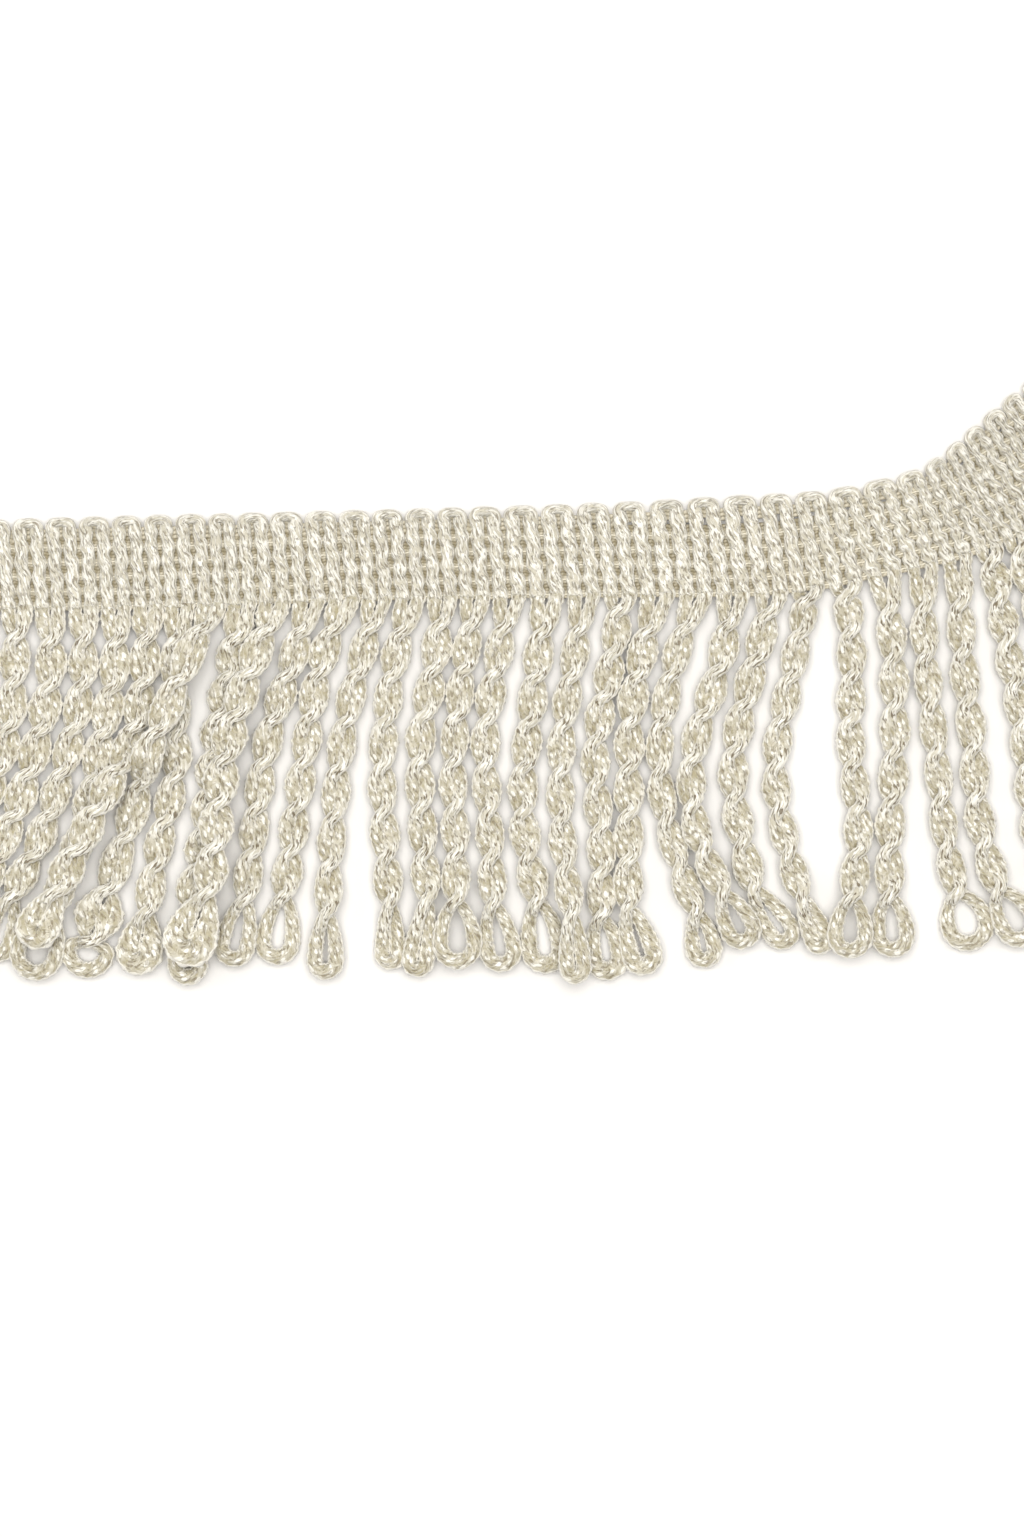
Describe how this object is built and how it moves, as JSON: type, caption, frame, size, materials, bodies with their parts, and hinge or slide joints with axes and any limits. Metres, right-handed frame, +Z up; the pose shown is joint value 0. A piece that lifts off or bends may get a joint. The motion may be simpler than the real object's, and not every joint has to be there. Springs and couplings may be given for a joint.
{
  "type": "twisted fringe",
  "caption": "Flat length of bullion trim: a ribbed, scalloped heading and a skirt of two-ply twisted strands that each end in an open loop.",
  "frame": {"origin": "a point in the middle of the heading's flat underside, near the middle of its straight stretch", "axes": "+X along the heading towards its bent end, +Y from the skirt towards the heading's scalloped edge, +Z up from the surface on which it lies"},
  "size_m": [0.1838, 0.0806, 0.008],
  "materials": {
    "heading": "silky yarn",
    "skirt": "silky yarn"
  },
  "bodies": {
    "root": {"heading": "heading", "skirt": "skirt"}
  },
  "joints": []
}
